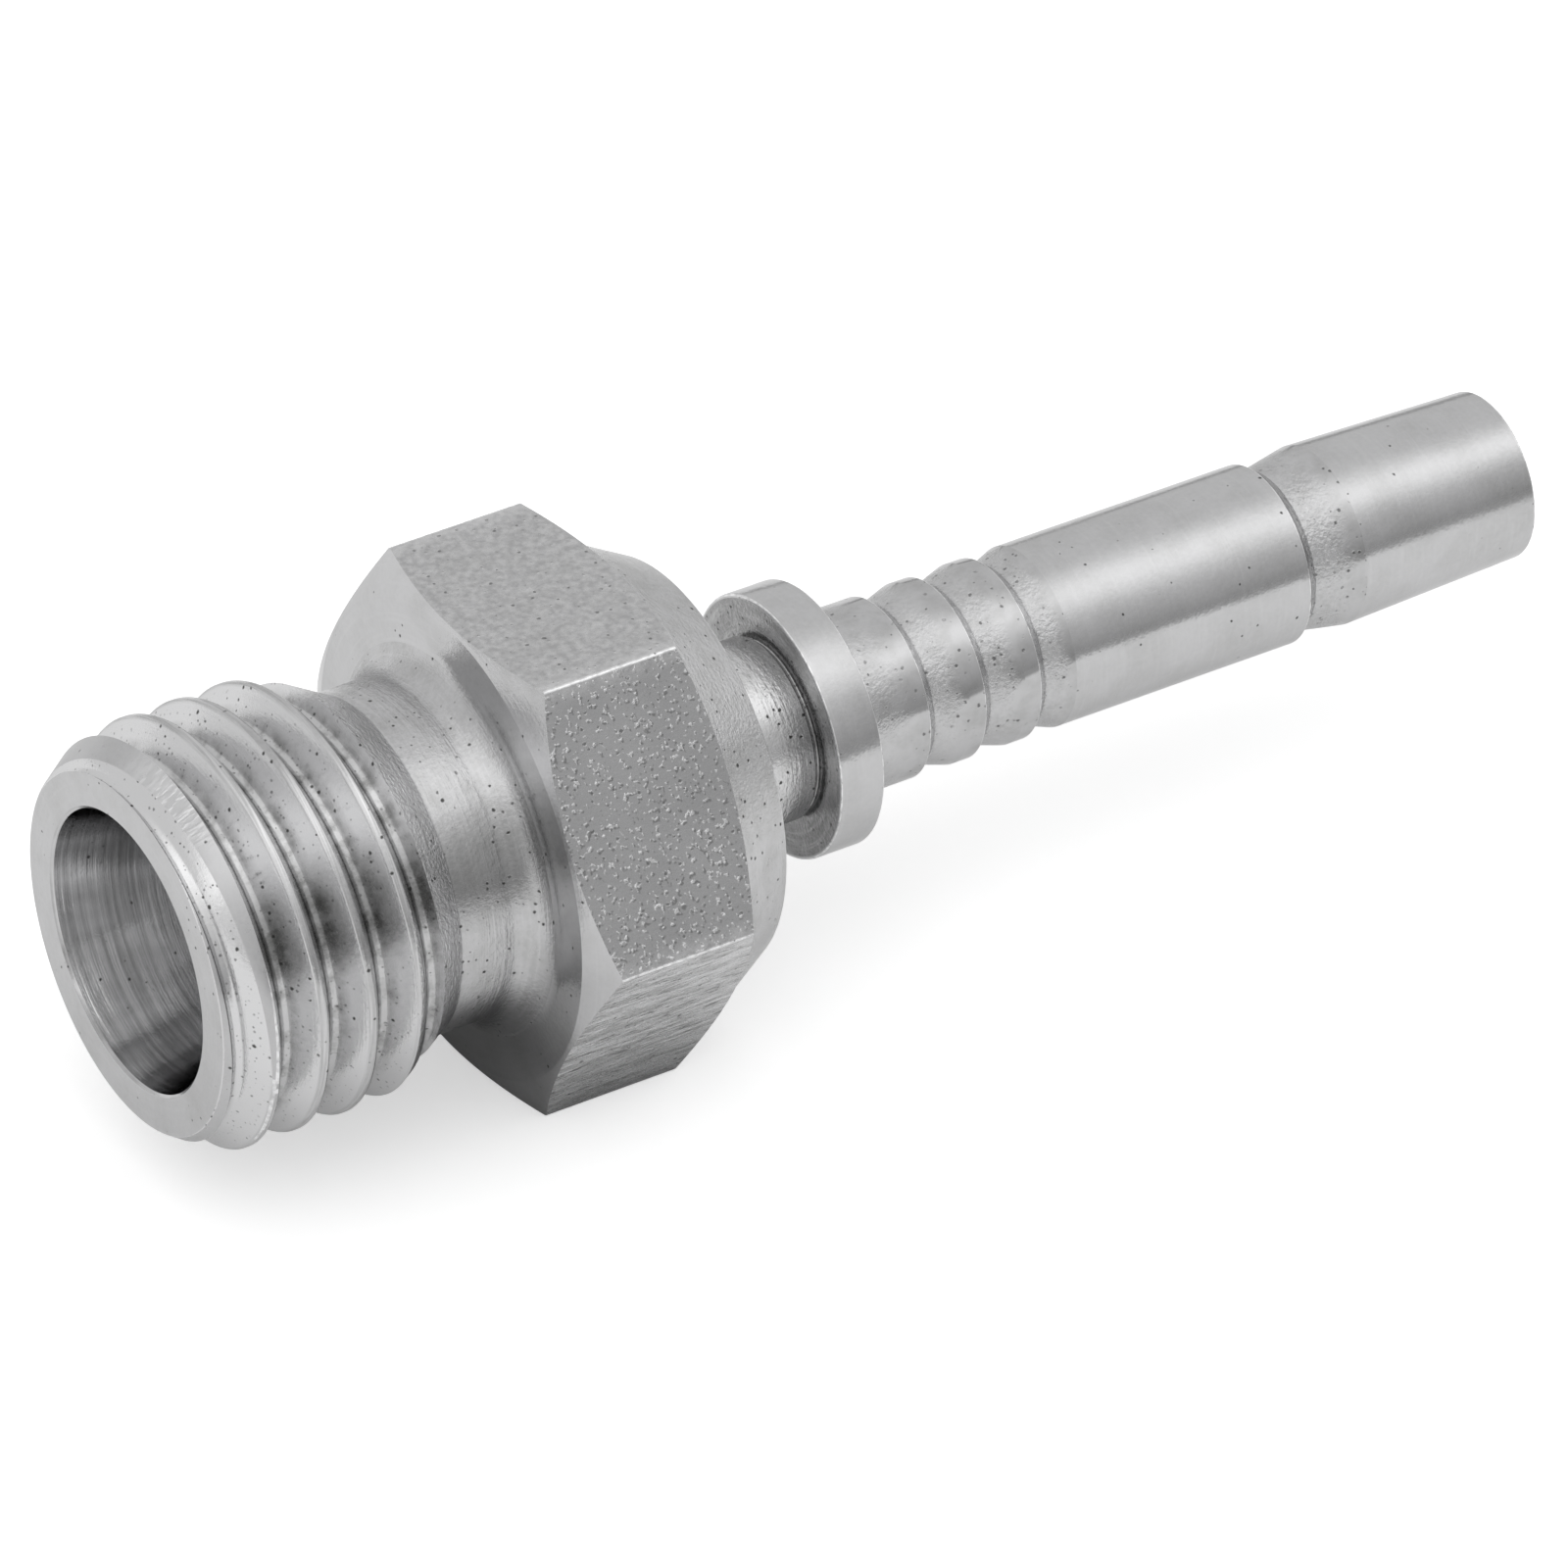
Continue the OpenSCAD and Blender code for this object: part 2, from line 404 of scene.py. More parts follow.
def blend_colour(tree, share, a, b):
    made = node(tree, "ShaderNodeMix", data_type="RGBA")
    for socket, value in (("Factor_Float", share), ("A_Color", a), ("B_Color", b)):
        target = next(i for i in made.inputs if i.identifier == socket)
        if isinstance(value, bpy.types.NodeSocket):
            tree.links.new(value, target)
        else:
            target.default_value = value
    return next(o for o in made.outputs if o.identifier == "Result_Color")


def raise_surface(tree, height, depth, before=None):
    """Bump of the given depth in millimetres, on top of an earlier one."""
    values = {"Height": height, "Distance": depth * MM, "Strength": 1.0}
    if before is not None:
        values["Normal"] = before
    return node(tree, "ShaderNodeBump", values).outputs[0]


ZINC = (0.54, 0.54, 0.545, 1)
ZINC_DULL = (0.40, 0.40, 0.395, 1)
ZINC_LIGHT = (0.68, 0.68, 0.685, 1)
PIT = (0.08, 0.08, 0.078, 1)
# dark tone for the darker thread roots and for painted dark reflections
DARK_ROOT_AND_PAINTED_REFLECTION = (0.15, 0.15, 0.145, 1)


def object_place(tree):
    return node(tree, "ShaderNodeTexCoord").outputs["Object"]


def metal(tree, colour, roughness, normal, brushed=0.0):
    """The metal shader; brushed metal spreads its shine along the axis."""
    values = {"Base Color": colour, "Metallic": 1.0, "Roughness": roughness, "Normal": normal}
    values["Specular Tint"] = (0.84, 0.84, 0.84, 1)
    if brushed:
        values["Tangent"] = node(tree, "ShaderNodeTangent", direction_type="RADIAL", axis="X").outputs[0]
        values["Anisotropic"] = brushed
        values["Anisotropic Rotation"] = 0.25
    shader = node(tree, "ShaderNodeBsdfPrincipled", values)
    node(tree, "ShaderNodeOutputMaterial", {"Surface": shader.outputs[0]})


def share_of(tree, value, share):
    return math_node(tree, "MULTIPLY", value, share)


def turned_plating():
    """Zinc over smooth turned steel: fine lines, soft stains and a few dark pits."""
    made = new_material("turned_zinc")
    tree = made.node_tree
    place = object_place(tree)
    fine = lines(tree, place, 0.1, 1.6)["Height"]
    wide = lines(tree, place, 0.45, 1.0)["Height"]
    stain = clouds(tree, place, 1.6, 0.42, 0.75)
    grain = clouds(tree, place, 0.14, 0.3, 0.7)
    pits = specks(tree, place, 0.42, 0.045, 0.6)
    colour = blend_colour(tree, share_of(tree, stain, 0.5), ZINC, ZINC_DULL)
    colour = blend_colour(tree, share_of(tree, ramp(tree, fine, 0.5, 0.75), 0.2), colour, ZINC_LIGHT)
    colour = blend_colour(tree, share_of(tree, grain, 0.2), colour, ZINC_LIGHT)
    colour = blend_colour(tree, pits, colour, PIT)
    rough = ramp(tree, math_node(tree, "ADD", stain, grain), 0.0, 2.0, 0.08, 0.2)
    bump = raise_surface(tree, wide, 0.006)
    bump = raise_surface(tree, fine, 0.0025, bump)
    bump = raise_surface(tree, grain, 0.002, bump)
    metal(tree, colour, rough, bump, 0.45)
    return made


def painted_reflection_share(tree, place):
    """One on the front of the round surfaces, where a dark reflection is painted, and zero elsewhere."""
    parts = node(tree, "ShaderNodeSeparateXYZ", {0: place}).outputs
    angle = math_node(tree, "ARCTAN2", math_node(tree, "MULTIPLY", parts["Y"], -1.0), parts["Z"])
    away = math_node(tree, "ABSOLUTE", math_node(tree, "SUBTRACT", angle, math.radians(62)))
    return ramp(tree, away, math.radians(21), math.radians(6))


def coarse_plating(name, base, dull, mottle, painted_reflection=0.0):
    """Turned in a groove or on a slope: lined, mottled, with many dark pits."""
    made = new_material(name)
    tree = made.node_tree
    place = object_place(tree)
    fine = lines(tree, place, 0.12, 1.6)["Height"]
    stain = clouds(tree, place, 0.8, 0.4, 0.7)
    grain = clouds(tree, place, 0.12, 0.35, 0.65)
    pits = specks(tree, place, 0.25, 0.05, 0.55)
    colour = blend_colour(tree, share_of(tree, stain, 0.6), base, dull)
    colour = blend_colour(tree, share_of(tree, ramp(tree, fine, 0.5, 0.7), 0.4), colour, ZINC_LIGHT)
    colour = blend_colour(tree, share_of(tree, grain, 0.25), colour, ZINC_LIGHT)
    # painted dark reflection on the front of the round surfaces
    if painted_reflection:
        colour = blend_colour(tree, share_of(tree, painted_reflection_share(tree, place), painted_reflection), colour, DARK_ROOT_AND_PAINTED_REFLECTION)
    colour = blend_colour(tree, pits, colour, PIT)
    rough = ramp(tree, math_node(tree, "ADD", stain, grain), 0.0, 2.0, 0.12, 0.3)
    bump = raise_surface(tree, fine, 0.012)
    bump = raise_surface(tree, grain, mottle, bump)
    bump = raise_surface(tree, pits, -0.01, bump)
    metal(tree, colour, rough, bump, 0.3)
    return made


def neck_plating():
    # the neck and its fillet get a painted dark reflection on their front
    return coarse_plating("neck_zinc", (0.5, 0.5, 0.505, 1), (0.38, 0.38, 0.375, 1), 0.004, 0.38)


def back_cone_plating():
    # a base lighter than the neck's: painted light on the back cone
    return coarse_plating("back_cone_zinc", (0.6, 0.6, 0.605, 1), (0.45, 0.45, 0.445, 1), 0.007)


def barb_plating():
    """The ridges of the tail: smooth on their tops, mottled and pitted down in the grooves."""
    made = new_material("barb_zinc")
    tree = made.node_tree
    place = object_place(tree)
    turned = lines(tree, place, 0.14, 1.4)
    parts = node(tree, "ShaderNodeSeparateXYZ", {0: place}).outputs
    deep = ramp(tree, turned["Radius"], 2.61 * MM, 2.47 * MM)
    deep = math_node(tree, "MAXIMUM", deep, ramp(tree, parts["X"], 23.5 * MM, 22.6 * MM, 0.0, 0.6))
    stain = clouds(tree, place, 0.7, 0.4, 0.7)
    grain = clouds(tree, place, 0.13, 0.35, 0.65)
    skin = math_node(tree, "MULTIPLY", grain, deep)
    pits = specks(tree, place, 0.2, 0.055, 0.6)
    pits = math_node(tree, "MULTIPLY", pits, ramp(tree, stain, 0.15, 0.5))
    colour = blend_colour(tree, share_of(tree, stain, 0.5), (0.53, 0.53, 0.535, 1), (0.35, 0.35, 0.345, 1))
    colour = blend_colour(tree, share_of(tree, skin, 0.4), colour, ZINC_LIGHT)
    colour = blend_colour(tree, share_of(tree, pits, 0.9), colour, (0.14, 0.14, 0.14, 1))
    bump = raise_surface(tree, turned["Height"], 0.004)
    bump = raise_surface(tree, skin, 0.013, bump)
    bump = raise_surface(tree, pits, -0.01, bump)
    metal(tree, colour, ramp(tree, skin, 0.0, 1.0, 0.09, 0.24), bump, 0.3)
    return made


def lock_groove_plating():
    # a base lighter than the neck's: a painted highlight in the lock groove
    return coarse_plating("lock_groove_zinc", (0.66, 0.66, 0.665, 1), (0.5, 0.5, 0.495, 1), 0.005)


def relief_plating():
    # a very light base: painted light on the relief cone
    return coarse_plating("relief_zinc", (0.78, 0.78, 0.785, 1), (0.4, 0.4, 0.395, 1), 0.01)


def painted_shade_corner():
    # a dark base: painted shade in the corner at the foot of the collar
    return coarse_plating("painted_shade_corner", (0.34, 0.34, 0.34, 1), (0.16, 0.16, 0.158, 1), 0.004)


def thread_plating():
    """The thread: darker down in the roots, with a painted dark reflection in them on the front, clean crests,
    lines along the turns.
    """
    made = new_material("thread_zinc")
    tree = made.node_tree
    place = object_place(tree)
    turned = lines(tree, place, 0.1, 1.6)
    stain = clouds(tree, place, 0.7, 0.45, 0.65)
    grain = clouds(tree, place, 0.12, 0.3, 0.7)
    pits = specks(tree, place, 0.34, 0.055, 0.55)
    parts = node(tree, "ShaderNodeSeparateXYZ", {0: place}).outputs
    root = ramp(tree, turned["Radius"], 5.5 * MM, 5.12 * MM)
    wide_root = ramp(tree, turned["Radius"], 5.9 * MM, 5.3 * MM)
    # darker down in the roots of the thread
    dark_root = math_node(tree, "MULTIPLY", root, math_node(tree, "ADD", share_of(tree, stain, 0.6), 0.25))
    # painted dark reflection in the roots on the front of the thread
    painted_reflection = math_node(tree, "MULTIPLY", wide_root, painted_reflection_share(tree, place))
    painted_reflection = math_node(tree, "MULTIPLY", painted_reflection, ramp(tree, stain, 0.0, 0.5, 0.55, 0.9))
    root_and_reflection_dark = math_node(tree, "MAXIMUM", dark_root, painted_reflection)
    root_and_reflection_dark = math_node(tree, "MULTIPLY", root_and_reflection_dark, ramp(tree, parts["X"], 0.9 * MM, 1.9 * MM))
    crest = ramp(tree, turned["Radius"], 5.88 * MM, 5.96 * MM)
    worn = math_node(tree, "MULTIPLY", crest, ramp(tree, turned["Height"], 0.35, 0.6))
    colour = blend_colour(tree, root_and_reflection_dark, (0.67, 0.67, 0.675, 1), DARK_ROOT_AND_PAINTED_REFLECTION)
    dirt = specks(tree, place, 0.17, 0.042, 0.7)
    dirt = math_node(tree, "MULTIPLY", dirt, ramp(tree, turned["Radius"], 5.9 * MM, 5.6 * MM))
    colour = blend_colour(tree, share_of(tree, worn, 0.6), colour, (0.26, 0.26, 0.26, 1))
    colour = blend_colour(tree, share_of(tree, dirt, 0.8), colour, (0.12, 0.12, 0.12, 1))
    colour = blend_colour(tree, share_of(tree, grain, 0.25), colour, ZINC_LIGHT)
    colour = blend_colour(tree, pits, colour, PIT)
    rough = ramp(tree, math_node(tree, "ADD", root_and_reflection_dark, grain), 0.0, 2.0, 0.12, 0.32)
    bump = raise_surface(tree, turned["Height"], 0.005)
    bump = raise_surface(tree, worn, -0.003, bump)
    bump = raise_surface(tree, grain, 0.002, bump)
    metal(tree, colour, rough, bump, 0.3)
    return made


def chatter_plating():
    """The lead chamfer: short marks across it near the top, left by a shaking tool."""
    made = new_material("chatter_marked_zinc")
    tree = made.node_tree
    place = object_place(tree)
    fine = lines(tree, place, 0.09, 5.0)["Height"]
    parts = node(tree, "ShaderNodeSeparateXYZ", {0: place}).outputs
    front = math_node(tree, "MULTIPLY", parts["Y"], -1.0)
    angle = math_node(tree, "ARCTAN2", front, parts["Z"])
    ahead = ramp(tree, angle, math.radians(-12), math.radians(4))
    behind = ramp(tree, angle, math.radians(34), math.radians(16))
    along = math_node(tree, "MULTIPLY", parts["X"], 1 / (0.5 * MM))
    around = math_node(tree, "MULTIPLY", angle, 26.0)
    strokes = node(tree, "ShaderNodeCombineXYZ", {"X": along, "Y": around}).outputs[0]
    marks = node(tree, "ShaderNodeTexNoise", {"Vector": strokes, "Scale": 1.0, "Detail": 2.0}).outputs["Fac"]
    worked = math_node(tree, "MULTIPLY", ahead, behind)
    marks = math_node(tree, "MULTIPLY", ramp(tree, marks, 0.42, 0.62), worked)
    stain = clouds(tree, place, 1.1, 0.45, 0.75)
    grain = clouds(tree, place, 0.14, 0.3, 0.7)
    pits = specks(tree, place, 0.4, 0.055, 0.5)
    colour = blend_colour(tree, share_of(tree, stain, 0.35), (0.5, 0.5, 0.505, 1), ZINC_DULL)
    colour = blend_colour(tree, share_of(tree, worked, 0.6), colour, ZINC_LIGHT)
    colour = blend_colour(tree, share_of(tree, marks, 0.4), colour, (0.8, 0.8, 0.805, 1))
    colour = blend_colour(tree, share_of(tree, grain, 0.2), colour, ZINC_LIGHT)
    colour = blend_colour(tree, pits, colour, PIT)
    bump = raise_surface(tree, marks, 0.02)
    bump = raise_surface(tree, fine, 0.004, bump)
    metal(tree, colour, ramp(tree, grain, 0.0, 1.0, 0.26, 0.38), bump, 0.3)
    return made


def bore_plating():
    """The inside: duller, with clear lines round the wall."""
    made = new_material("bore_zinc")
    tree = made.node_tree
    place = object_place(tree)
    turned = lines(tree, place, 0.12, 0.7)["Height"]
    stain = clouds(tree, place, 1.2, 0.4, 0.7)
    grain = clouds(tree, place, 0.1, 0.3, 0.7)
    pits = specks(tree, place, 0.35, 0.05, 0.5)
    colour = blend_colour(tree, stain, (0.45, 0.45, 0.455, 1), (0.31, 0.31, 0.31, 1))
    streak = ramp(tree, turned, 0.4, 0.7)
    colour = blend_colour(tree, share_of(tree, streak, 0.7), colour, (0.74, 0.74, 0.745, 1))
    colour = blend_colour(tree, pits, colour, PIT)
    bump = raise_surface(tree, turned, 0.006)
    bump = raise_surface(tree, grain, 0.001, bump)
    metal(tree, colour, ramp(tree, stain, 0.0, 1.0, 0.07, 0.15), bump, 0.5)
    return made


def drilled_plating():
    """The long drilled hole: rough, dull wall with drill lines."""
    made = new_material("drilled_zinc")
    tree = made.node_tree
    place = object_place(tree)
    drilled = lines(tree, place, 0.2, 1.2)["Height"]
    stain = clouds(tree, place, 0.9, 0.35, 0.7)
    colour = blend_colour(tree, stain, (0.58, 0.58, 0.585, 1), (0.42, 0.42, 0.42, 1))
    colour = blend_colour(tree, share_of(tree, ramp(tree, drilled, 0.5, 0.7), 0.4), colour, ZINC_LIGHT)
    bump = raise_surface(tree, drilled, 0.02)
    metal(tree, colour, ramp(tree, stain, 0.0, 1.0, 0.4, 0.55), bump)
    return made


def edge_share(tree, place):
    """How near a place is to a corner of the bar, broken up by noise."""
    radius = lines(tree, place, 0.2)["Radius"]
    near = ramp(tree, radius, 7.82 * MM, 8.0 * MM)
    broken = clouds(tree, place, 0.3, 0.3, 0.6)
    return math_node(tree, "MULTIPLY", near, broken)


def rolled_flat():
    """Flat of the bar: many small raised bumps, painted lighter as highlights, with painted shadows beside them.
    """
    made = new_material("rolled_flat")
    tree = made.node_tree
    place = object_place(tree)
    beside = node(tree, "ShaderNodeMapping", {"Vector": place, "Location": (-0.00003, 0, 0.00006)})
    bumps = clouds(tree, place, 0.15, 0.61, 0.71, 1.0)
    shadow = clouds(tree, beside.outputs[0], 0.15, 0.59, 0.68, 1.0)
    dents = specks(tree, place, 0.22, 0.055, 0.5)
    grain = clouds(tree, place, 0.09, 0.3, 0.7)
    wave = clouds(tree, place, 2.2, 0.3, 0.7)
    colour = blend_colour(tree, wave, (0.51, 0.51, 0.515, 1), (0.44, 0.44, 0.445, 1))
    # painted shadows just beside the bumps
    colour = blend_colour(tree, share_of(tree, shadow, 0.75), colour, (0.19, 0.19, 0.19, 1))
    colour = blend_colour(tree, share_of(tree, grain, 0.2), colour, (0.36, 0.36, 0.36, 1))
    # the bumps painted lighter: painted highlights
    colour = blend_colour(tree, bumps, colour, (0.67, 0.67, 0.675, 1))
    colour = blend_colour(tree, share_of(tree, dents, 0.7), colour, (0.14, 0.14, 0.14, 1))
    colour = blend_colour(tree, share_of(tree, edge_share(tree, place), 0.7), colour, ZINC_LIGHT)
    bump = raise_surface(tree, bumps, 0.024)
    bump = raise_surface(tree, dents, -0.02, bump)
    bump = raise_surface(tree, grain, 0.002, bump)
    metal(tree, colour, ramp(tree, grain, 0.0, 1.0, 0.2, 0.34), bump)
    return made


def fine_flat():
    """Flat of the bar with a fine, even, mottled grain."""
    made = new_material("fine_flat")
    tree = made.node_tree
    place = object_place(tree)
    grain = clouds(tree, place, 0.22, 0.35, 0.65)
    dots = specks(tree, place, 0.24, 0.06, 0.5, "Dome")
    pits = specks(tree, place, 0.3, 0.055, 0.55)
    wave = clouds(tree, place, 1.4, 0.3, 0.7)
    colour = blend_colour(tree, grain, (0.61, 0.61, 0.615, 1), (0.43, 0.43, 0.435, 1))
    colour = blend_colour(tree, share_of(tree, wave, 0.3), colour, ZINC_DULL)
    colour = blend_colour(tree, share_of(tree, pits, 0.7), colour, (0.12, 0.12, 0.12, 1))
    colour = blend_colour(tree, share_of(tree, edge_share(tree, place), 0.7), colour, ZINC_LIGHT)
    bump = raise_surface(tree, dots, 0.02)
    bump = raise_surface(tree, pits, -0.015, bump)
    bump = raise_surface(tree, grain, 0.01, bump)
    metal(tree, colour, ramp(tree, grain, 0.0, 1.0, 0.22, 0.38), bump)
    return made


def scored_flat():
    """Flat of the bar with scaly skin and dark scratches along it."""
    made = new_material("scored_flat")
    tree = made.node_tree
    place = object_place(tree)
    long_way = node(tree, "ShaderNodeMapping", {"Vector": place, "Scale": (0.2, 1, 1)}).outputs[0]
    scratch = clouds(tree, long_way, 0.16, 0.57, 0.66)
    scale = clouds(tree, long_way, 0.3, 0.4, 0.6)
    grain = clouds(tree, place, 0.12, 0.35, 0.65)
    pits = specks(tree, place, 0.4, 0.06, 0.6)
    colour = blend_colour(tree, scale, (0.7, 0.7, 0.705, 1), (0.52, 0.52, 0.52, 1))
    colour = blend_colour(tree, share_of(tree, scratch, 0.75), colour, (0.14, 0.14, 0.14, 1))
    colour = blend_colour(tree, share_of(tree, pits, 0.7), colour, (0.1, 0.1, 0.1, 1))
    colour = blend_colour(tree, share_of(tree, edge_share(tree, place), 0.9), colour, ZINC_LIGHT)
    bump = raise_surface(tree, scale, 0.022)
    bump = raise_surface(tree, scratch, -0.01, bump)
    bump = raise_surface(tree, grain, 0.006, bump)
    metal(tree, colour, ramp(tree, grain, 0.0, 1.0, 0.22, 0.36), bump)
    return made


def worn_edge():
    """Edges rubbed bright, in broken lines."""
    made = new_material("worn_edge")
    tree = made.node_tree
    place = object_place(tree)
    broken = clouds(tree, place, 0.25, 0.35, 0.6)
    pits = specks(tree, place, 0.3, 0.05, 0.5)
    colour = blend_colour(tree, broken, (0.55, 0.55, 0.555, 1), (0.86, 0.86, 0.865, 1))
    colour = blend_colour(tree, pits, colour, (0.2, 0.2, 0.2, 1))
    bump = raise_surface(tree, broken, 0.004)
    metal(tree, colour, ramp(tree, broken, 0.0, 1.0, 0.3, 0.18), bump)
    return made


# places where a turned edge is rubbed bright: station, radius
EDGES = [(1.2, 6.0), (HEX_END, RING_R), (17.2, 5.875)]
EDGES += [(20.2, 3.825), (21.6, 3.825), (NOTCH[0][0], TAIL_R), (TAIL_END, 2.45)]
EDGES += [(station, TAIL_R) for station in GROOVES]
EDGE_REACH = 0.07


def finish_of(face):
    """The number of the finish that a face gets, from its place and the way it looks."""
    x, y, z = face.center / MM
    nx, ny, nz = face.normal
    radius = math.hypot(y, z)
    outward = (y * ny + z * nz) / max(radius, 1e-9)
    turned, neck, cone, lock, barb, relief, corner, thread, chatter, bore, drilled = range(11)
    rolled, fine, scored, edge = range(11, 15)
    if outward < -0.2 and radius < 4.2:
        return bore if radius > 1.6 else drilled
    if any(math.hypot(x - station, radius - r) < EDGE_REACH for station, r in EDGES):
        return edge
    if radius > FLAT_R - 0.01 and abs(nx) < 0.02:
        turn = math.degrees(math.atan2(-ny, nz)) % 360
        side = round(turn / 60) * 60 % 360
        if abs((turn - side + 180) % 360 - 180) < 2:
            return {0: fine, 60: rolled, 120: scored, 180: rolled, 240: fine, 300: rolled}[side]
        if radius > 7.6:
            return edge
    if x < 1.25 and radius > 5.2 and -0.62 < nx < -0.48:
        return chatter
    if any(station < x < station + 0.32 and nx > 0.45 for station in GROOVES):
        return edge
    if x > 5.6 and 0.4 < nx < 0.6 and x < 7.6:
        return relief
    if x < 7.0 and radius > 5.0 and nx > -0.95:
        return thread
    # painted shade in the corner at the foot of the collar
    if 20.12 < x < 20.36 and radius < 3.2:
        return corner
    if 21.7 < x < 28.8 or 36.4 < x < 38.2:
        return barb
    if 5.6 < x < HEX_START - 0.06 and radius < RING_R - 0.9:
        return neck
    if HEX_END < x < 17.15:
        return cone
    if 17.15 < x < 20.3 and radius < 3:
        return lock
    return turned


def paint_faces(piece):
    """Give the piece its finishes, face by face."""
    piece.data.materials.clear()
    made = (turned_plating, neck_plating, back_cone_plating, lock_groove_plating, barb_plating)
    made += (relief_plating, painted_shade_corner, thread_plating, chatter_plating, bore_plating, drilled_plating)
    made += (rolled_flat, fine_flat, scored_flat, worn_edge)
    for finish in made:
        piece.data.materials.append(finish())
    for face in piece.data.polygons:
        face.material_index = finish_of(face)


def contact_shade(tree):
    """Painted shadow: how dark the floor lies under the hexagon, where the part touches it."""
    place = node(tree, "ShaderNodeTexCoord").outputs["Object"]
    parts = node(tree, "ShaderNodeSeparateXYZ", {0: place}).outputs
    middle = math_node(tree, "SUBTRACT", parts["X"], 11.7 * MM)
    past_x = math_node(tree, "SUBTRACT", math_node(tree, "ABSOLUTE", middle), 3.2 * MM)
    past_y = math_node(tree, "SUBTRACT", math_node(tree, "ABSOLUTE", parts["Y"]), 3.6 * MM)
    past_x = math_node(tree, "MAXIMUM", past_x, 0.0)
    past_y = math_node(tree, "MAXIMUM", past_y, 0.0)
    far = node(tree, "ShaderNodeCombineXYZ", {"X": past_x, "Y": past_y}).outputs[0]
    far = node(tree, "ShaderNodeVectorMath", {0: far}, operation="LENGTH").outputs["Value"]
    return node(
        tree,
        "ShaderNodeMapRange",
        {"Value": far, "From Min": 0.0, "From Max": 3.4 * MM, "To Min": 1.0, "To Max": 0.0},
        interpolation_type="SMOOTHSTEP",
    ).outputs["Result"]


def studio_floor():
    """Pale floor that the camera and the metal both see as white, with the part's shadow on it, and in the metal
    a painted shadow under the hexagon.

    In the metal it ends a little way in front of the part and past its hose end, as a table would."""
    bpy.ops.object.select_all(action="DESELECT")
    bpy.ops.mesh.primitive_plane_add(size=4, location=(0, 0, FLOOR_Z * MM))
    floor = bpy.context.object
    floor.name = "studio_floor"
    bpy.ops.object.transform_apply(location=True, rotation=True, scale=True)
    made = new_material("pale_floor")
    tree = made.node_tree
    ray = node(tree, "ShaderNodeLightPath").outputs
    parts = node(tree, "ShaderNodeSeparateXYZ", {0: object_place(tree)}).outputs
    ahead = ramp(tree, parts["Y"], -50 * MM, -75 * MM)
    ahead = math_node(tree, "MAXIMUM", ahead, ramp(tree, parts["X"], 60 * MM, 84 * MM))
    # painted shadow under the hexagon, seen only in the metal
    shade = math_node(tree, "MULTIPLY", contact_shade(tree), 0.5)
    shade = math_node(tree, "MAXIMUM", shade, math_node(tree, "MULTIPLY", ahead, 0.45))
    dark = math_node(tree, "MULTIPLY", shade, ray["Is Glossy Ray"])
    lit = math_node(tree, "SUBTRACT", 1.0, math_node(tree, "MULTIPLY", shade, 2.0), clamp=True)
    in_metal = math_node(tree, "MULTIPLY", lit, ray["Is Glossy Ray"])
    in_metal = math_node(tree, "ADD", in_metal, ray["Is Transmission Ray"], clamp=True)
    seen = math_node(tree, "MULTIPLY", in_metal, 0.21)
    seen = math_node(tree, "ADD", seen, math_node(tree, "MULTIPLY", ray["Is Camera Ray"], 0.45))
    paint_colour = blend_colour(tree, dark, (0.8, 0.8, 0.8, 1), (0.05, 0.05, 0.05, 1))
    paint = node(tree, "ShaderNodeBsdfDiffuse", {"Color": paint_colour})
    glow = node(tree, "ShaderNodeEmission", {"Color": (1, 1, 1, 1), "Strength": seen})
    both = node(tree, "ShaderNodeAddShader", {0: paint.outputs[0], 1: glow.outputs[0]})
    node(tree, "ShaderNodeOutputMaterial", {"Surface": both.outputs[0]})
    floor.data.materials.append(made)
    return floor


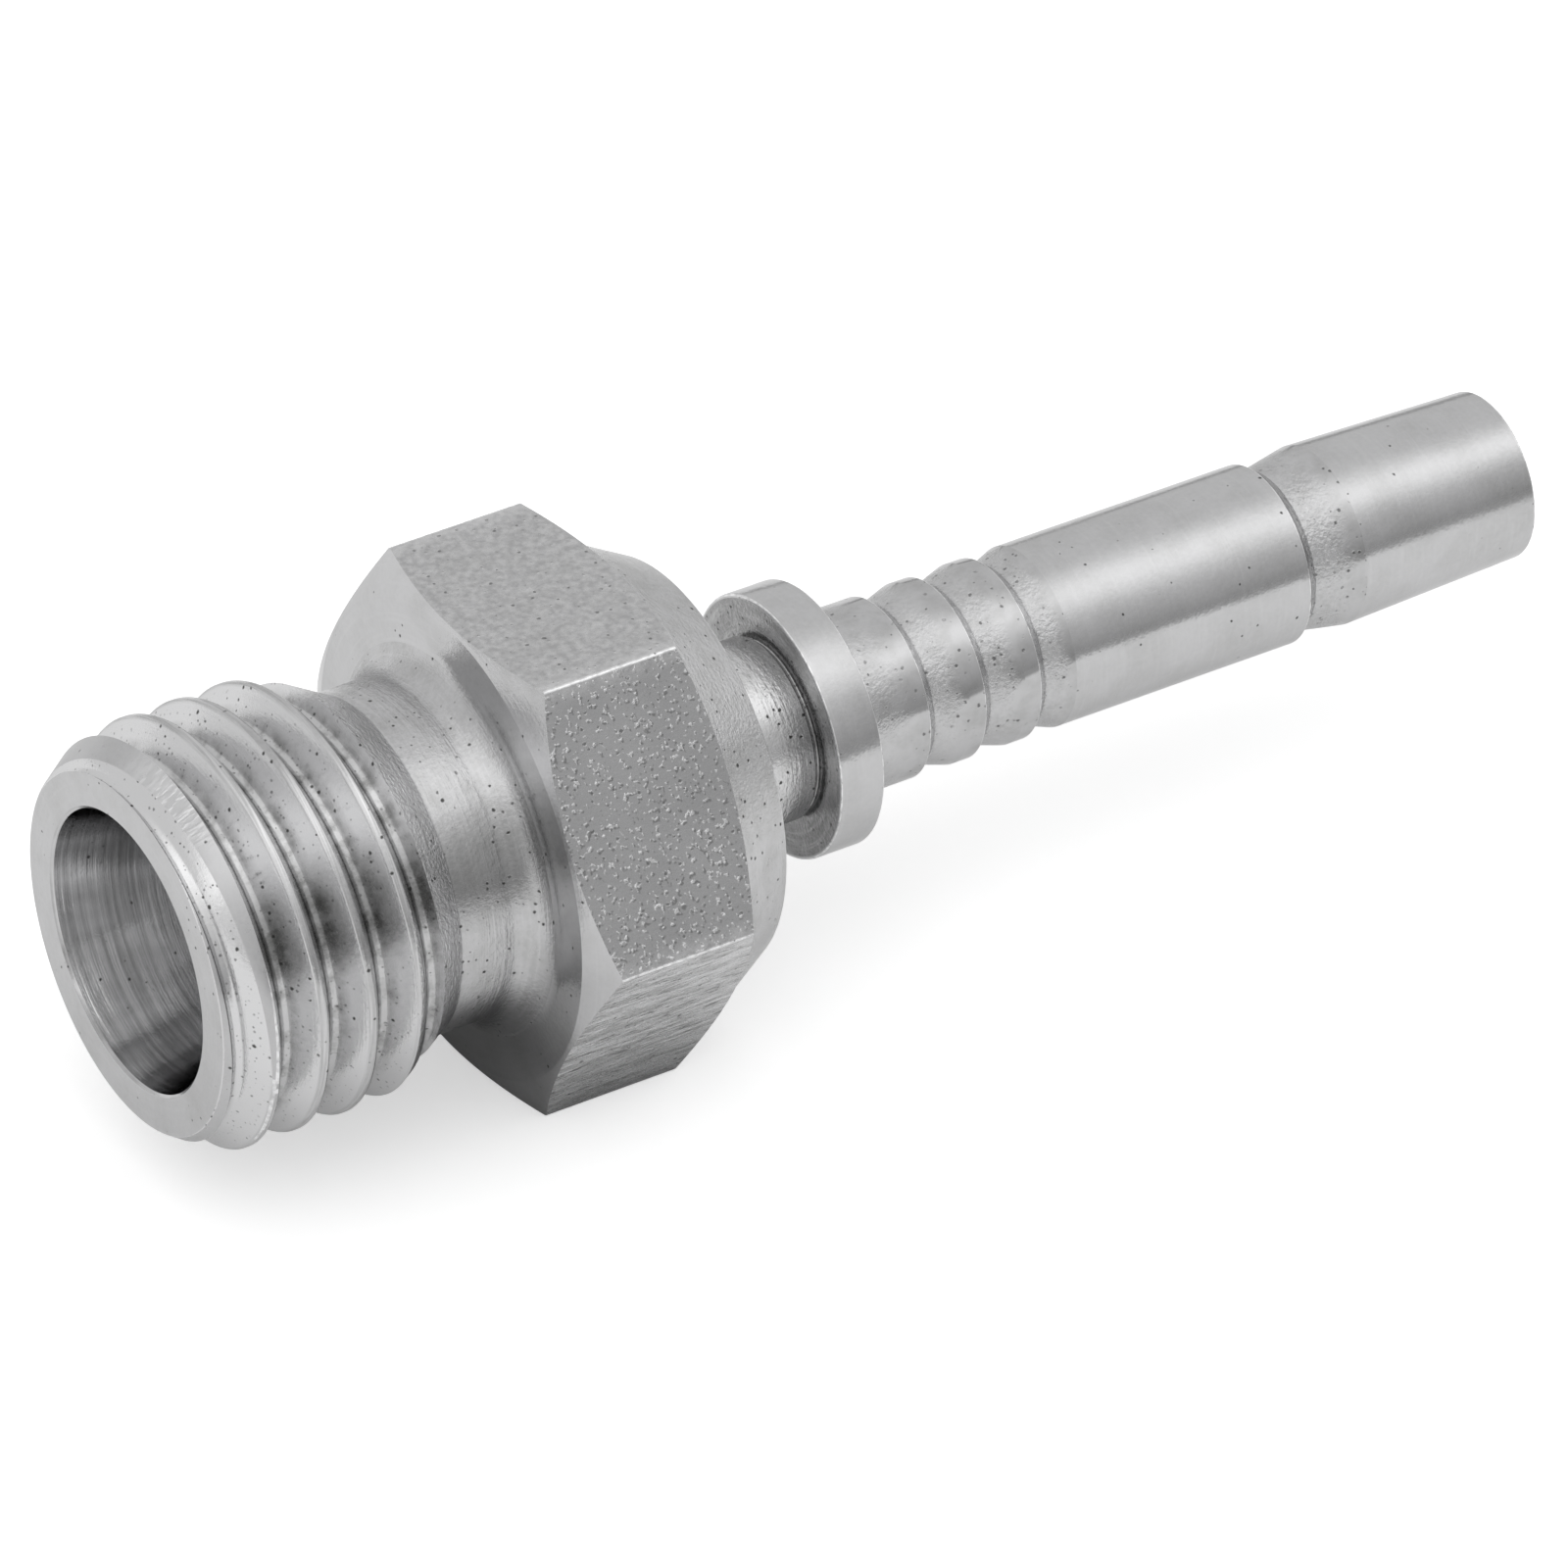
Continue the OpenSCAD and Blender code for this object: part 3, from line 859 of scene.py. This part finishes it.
def studio_world():
    """Soft light from all round, a long strip light above, and a darker wall low at the front right."""
    world = bpy.data.worlds.new("soft_studio")
    bpy.context.scene.world = world
    world.use_nodes = True
    tree = world.node_tree
    tree.nodes.clear()
    way = node(tree, "ShaderNodeTexCoord").outputs["Generated"]
    parts = node(tree, "ShaderNodeSeparateXYZ", {0: way}).outputs
    across = node(tree, "ShaderNodeCombineXYZ", {"Y": parts["Y"], "Z": parts["Z"]}).outputs[0]
    across = node(tree, "ShaderNodeVectorMath", {0: across}, operation="NORMALIZE").outputs[0]
    strip = node(tree, "ShaderNodeVectorMath", {0: across, 1: (0, -0.292, 0.956)}, operation="DOT_PRODUCT")
    strip = math_node(tree, "MAXIMUM", strip.outputs["Value"], 0.0)
    strip = share_of(tree, math_node(tree, "POWER", strip, 11.0), 0.58)
    wall = node(
        tree,
        "ShaderNodeMapRange",
        {"Value": parts["Z"], "From Min": 0.0, "From Max": 0.7, "To Min": 0.42, "To Max": 0.8},
    ).outputs["Result"]
    toward = math_node(tree, "ADD", math_node(tree, "MULTIPLY", parts["X"], -0.35), parts["Y"])
    front = node(
        tree,
        "ShaderNodeMapRange",
        {"Value": toward, "From Min": -0.16, "From Max": -0.71},
        interpolation_type="SMOOTHSTEP",
    ).outputs["Result"]
    level = node(tree, "ShaderNodeMix", {"Factor": front, "A": 0.8, "B": wall}).outputs["Result"]
    level = math_node(tree, "ADD", level, strip)
    sky = node(tree, "ShaderNodeBackground", {"Color": (1, 1, 1, 1), "Strength": level})
    node(tree, "ShaderNodeOutputWorld", {"Surface": sky.outputs[0]})


def photo_camera():
    data = bpy.data.cameras.new("photo_camera")
    data.lens = 337.394
    data.sensor_width = 36
    camera = bpy.data.objects.new("photo_camera", data)
    bpy.context.scene.collection.objects.link(camera)
    camera.location = Vector((-154.703, -279.696, 229.877)) * MM
    turn = (math.radians(54.9086), math.radians(-0.3071), math.radians(-31.8866))
    camera.rotation_euler = Euler(turn, "XYZ")
    bpy.context.scene.camera = camera


bpy.context.scene.view_settings.view_transform = "Standard"
photo_camera()
studio_world()
studio_floor()

body = make_body()
paint_faces(body)
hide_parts("hose_tail")
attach(body, "root")
